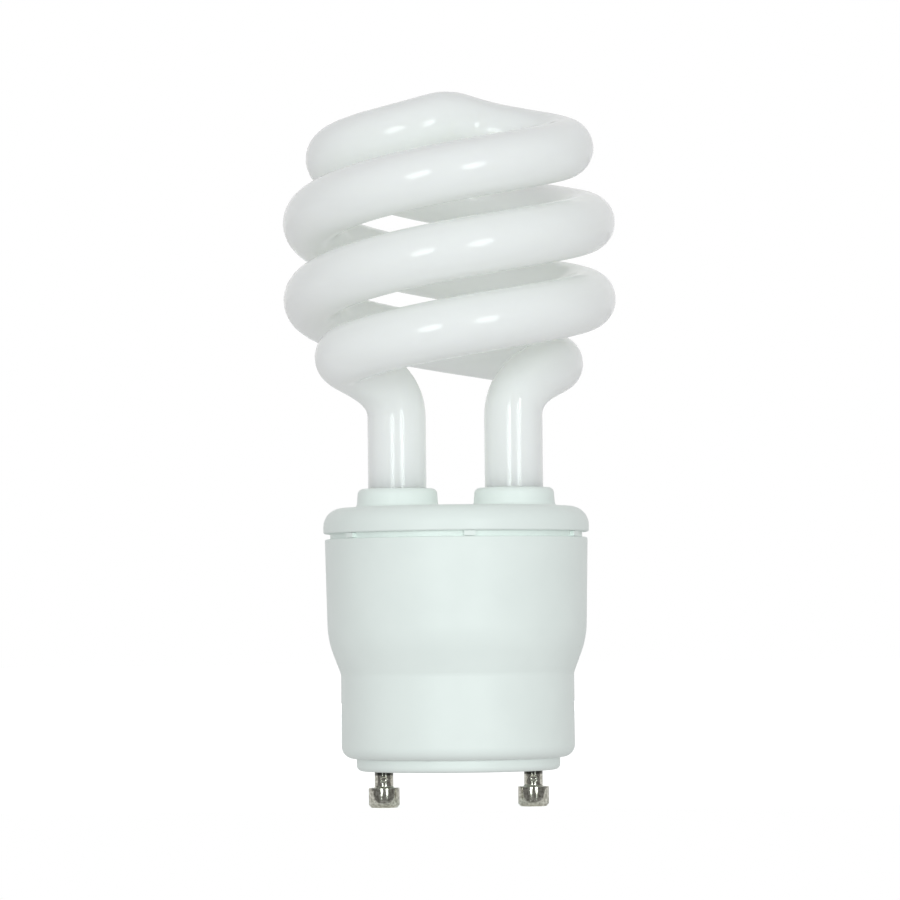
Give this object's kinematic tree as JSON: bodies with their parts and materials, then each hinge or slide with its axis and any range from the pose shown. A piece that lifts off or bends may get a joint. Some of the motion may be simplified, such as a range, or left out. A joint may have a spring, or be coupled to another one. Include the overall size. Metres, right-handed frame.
{
  "type": "spiral fluorescent lamp",
  "caption": "Self-ballasted fluorescent lamp with a white glass tube wound as a double coil on a stepped white plastic housing with a twist-lock pin base.",
  "frame": {"origin": "centre of the base face that seats in the socket, on the lamp's axis", "axes": "+Z along the lamp's axis from the base face to the top of the coil; the two base pins hang below the face along X"},
  "size_m": [0.0535, 0.0536, 0.1153],
  "materials": {
    "tube_glass": "gloss white inner coating",
    "white_plastic": "satin moulded",
    "pin_plating": "bright plated",
    "cement": "matt",
    "board_laminate": "satin",
    "copper_wire": "enamelled",
    "tinned_wire": "tinned",
    "wire_insulation": "satin",
    "ferrite": "matt",
    "bobbin_plastic": "satin",
    "capacitor_sleeve": "gloss",
    "film_case": "dipped gloss",
    "transistor_case": "matt",
    "diode_case": "satin",
    "resistor_body": "lacquered"
  },
  "bodies": {
    "root": {"discharge_tube": "tube_glass", "top_cover": "white_plastic", "housing": "white_plastic", "base_pin_left": "pin_plating", "base_pin_right": "pin_plating", "tube_cement_left": "cement", "tube_cement_right": "cement", "filament_leads_left": "tinned_wire", "filament_leads_right": "tinned_wire", "wire_posts": "tinned_wire", "circuit_board": "board_laminate", "supply_lead_left": "wire_insulation", "supply_lead_right": "wire_insulation", "electrolytic_capacitor": "capacitor_sleeve", "inductor_bobbin": "bobbin_plastic", "inductor_winding": "copper_wire", "inductor_core_upper": "ferrite", "inductor_core_lower": "ferrite", "drive_toroid": "ferrite", "toroid_winding": "copper_wire", "input_choke_core": "ferrite", "input_choke_winding": "copper_wire", "tank_capacitor": "film_case", "transistor_left": "transistor_case", "transistor_right": "transistor_case", "rectifier_diodes": "diode_case", "fuse_resistor": "resistor_body", "resistors": "resistor_body"}
  },
  "joints": []
}
